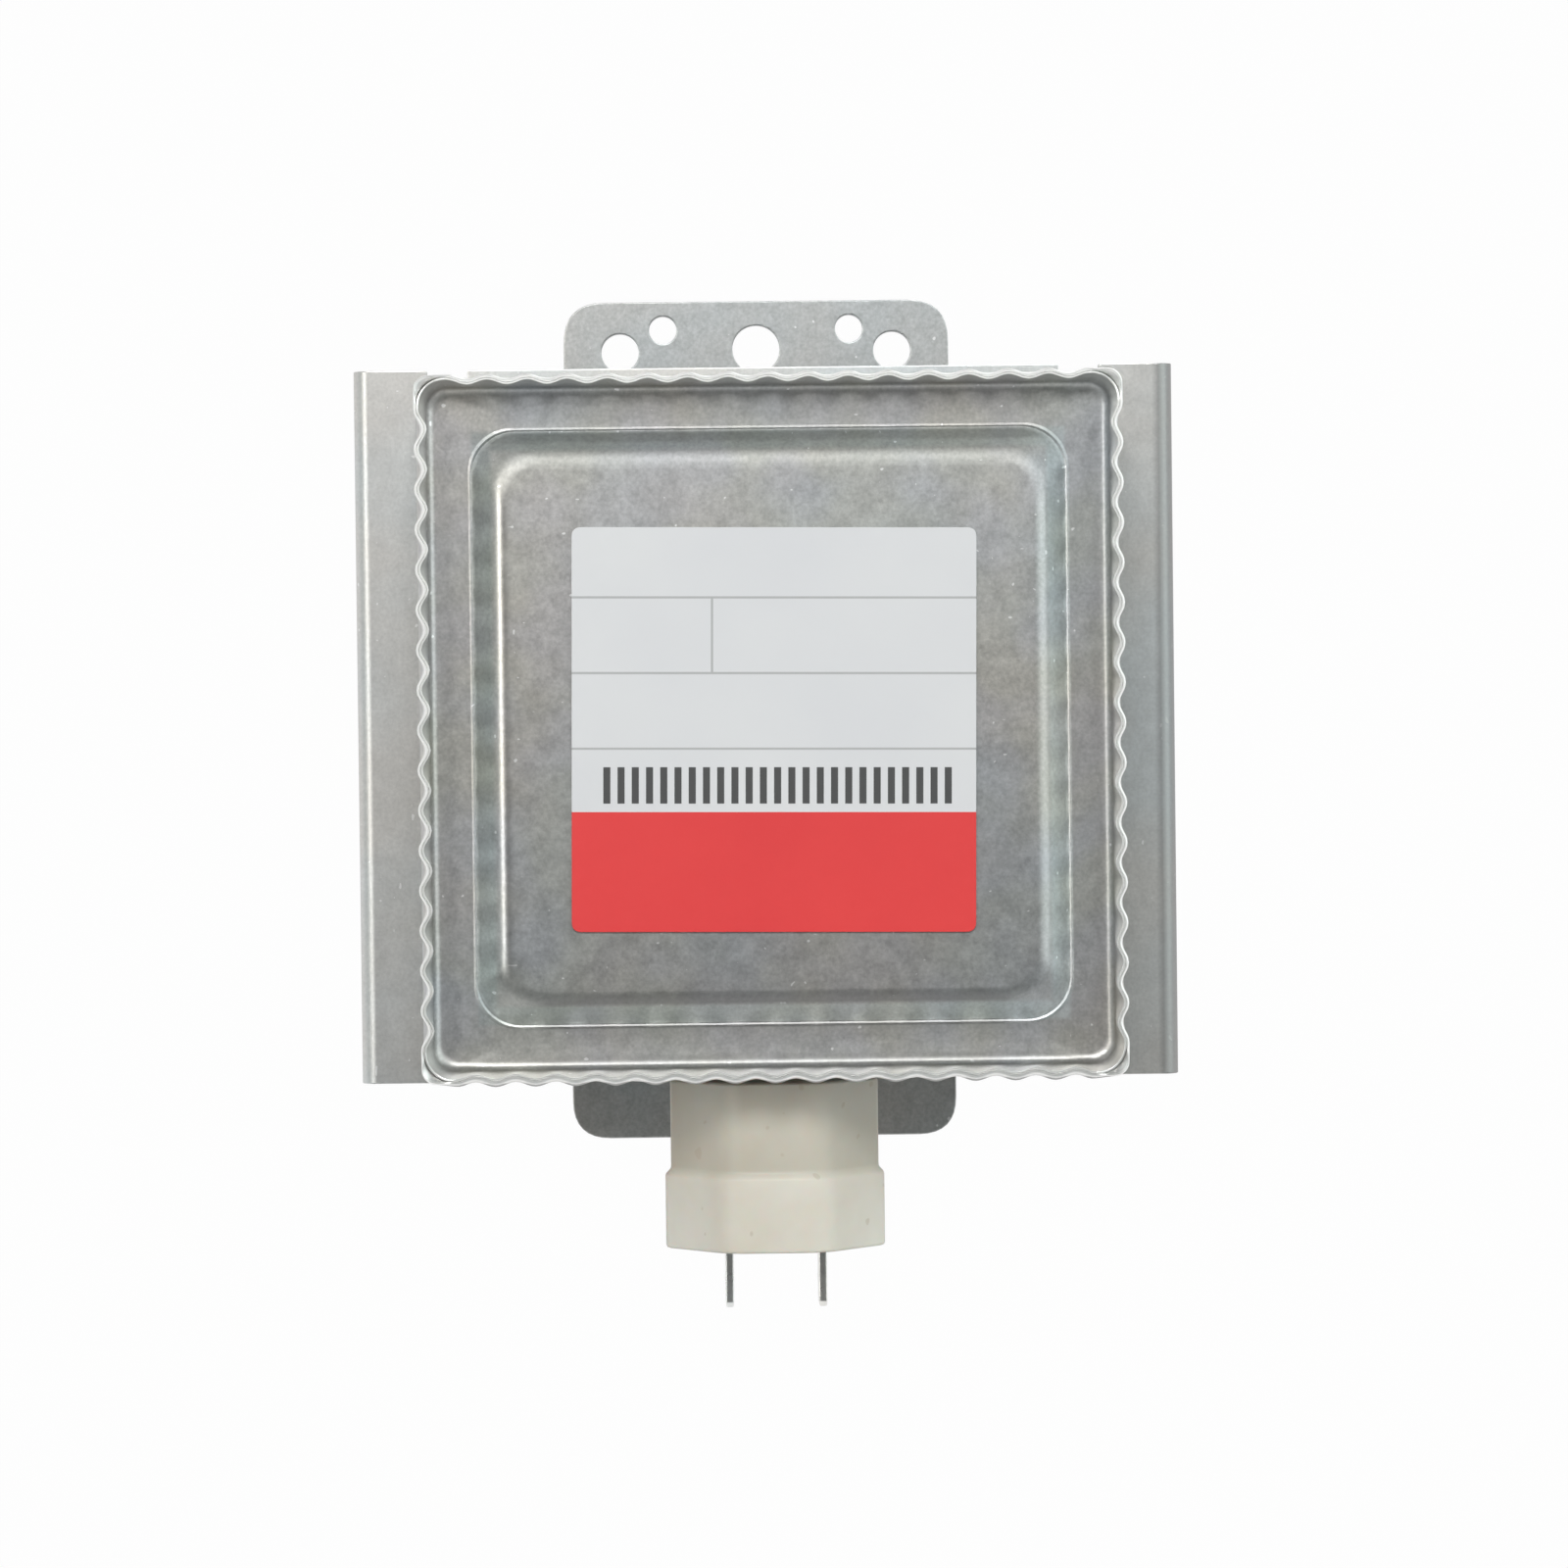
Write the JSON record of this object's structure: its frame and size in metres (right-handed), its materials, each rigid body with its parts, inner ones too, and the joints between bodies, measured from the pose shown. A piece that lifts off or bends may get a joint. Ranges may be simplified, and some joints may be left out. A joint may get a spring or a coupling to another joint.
{
  "type": "magnetron",
  "caption": "Cavity magnetron of a microwave oven: finned anode between ring magnets in a sheet-steel yoke, with a crimped filter box and a blade connector.",
  "frame": {"origin": "on the antenna's axis, at the outer face of the mounting plate", "axes": "+Y along the antenna, away from the mounting plate; the filter box's lid faces -Y and the connector's blades point to -Z"},
  "size_m": [0.0966, 0.1164, 0.1199],
  "materials": {
    "zinc": "zinc-plated sheet steel with a fine mottled grain",
    "dull_zinc": "dull zinc-plated sheet steel",
    "ferrite": "dark sintered ferrite",
    "copper": "bare copper",
    "iron": "soft iron",
    "ceramic": "white alumina",
    "wire_mesh": "knitted fine wire",
    "tungsten": "grey tungsten and molybdenum",
    "aluminium": "bright rolled aluminium",
    "label": "off-white printed film with a red field",
    "cream_plastic": "cream moulded plastic"
  },
  "bodies": {
    "root": {"mounting_plate": "dull_zinc", "yoke_frame": "zinc", "magnet_antenna_side": "ferrite", "magnet_stem_side": "ferrite", "anode_cylinder": "copper", "anode_vane_01": "copper", "anode_vane_02": "copper", "anode_vane_03": "copper", "anode_vane_04": "copper", "anode_vane_05": "copper", "anode_vane_06": "copper", "anode_vane_07": "copper", "anode_vane_08": "copper", "anode_vane_09": "copper", "anode_vane_10": "copper", "strap_antenna_side_inner": "copper", "strap_antenna_side_outer": "copper", "strap_stem_side_inner": "copper", "strap_stem_side_outer": "copper", "pole_piece_antenna_side": "iron", "pole_piece_stem_side": "iron", "seal_antenna_side": "zinc", "seal_stem_side": "zinc", "antenna_rod": "copper", "antenna_ceramic": "ceramic", "exhaust_tube": "copper", "antenna_cap": "zinc", "gasket_holder": "zinc", "rf_gasket": "wire_mesh", "filament": "tungsten", "end_hat_antenna_side": "tungsten", "end_hat_stem_side": "tungsten", "centre_lead": "tungsten", "side_lead": "tungsten", "stem_ceramic": "ceramic", "stem_terminal_left": "iron", "stem_terminal_right": "iron", "cooling_fin_1": "aluminium", "cooling_fin_2": "aluminium", "cooling_fin_3": "aluminium", "cooling_fin_4": "aluminium", "cooling_fin_5": "aluminium", "cooling_fin_6": "aluminium", "filter_box": "zinc", "filter_box_lid": "zinc", "rating_label": "label", "connector_housing": "cream_plastic", "capacitor_ground_plate": "zinc", "capacitor_ceramic": "ceramic", "terminal_blade_left": "zinc", "terminal_blade_right": "zinc", "choke_coil_left": "copper", "choke_coil_right": "copper", "choke_core_left": "ferrite", "choke_core_right": "ferrite", "box_rivet_left": "zinc", "box_rivet_right": "zinc", "ground_rivet_left": "zinc", "ground_rivet_right": "zinc"}
  },
  "joints": []
}
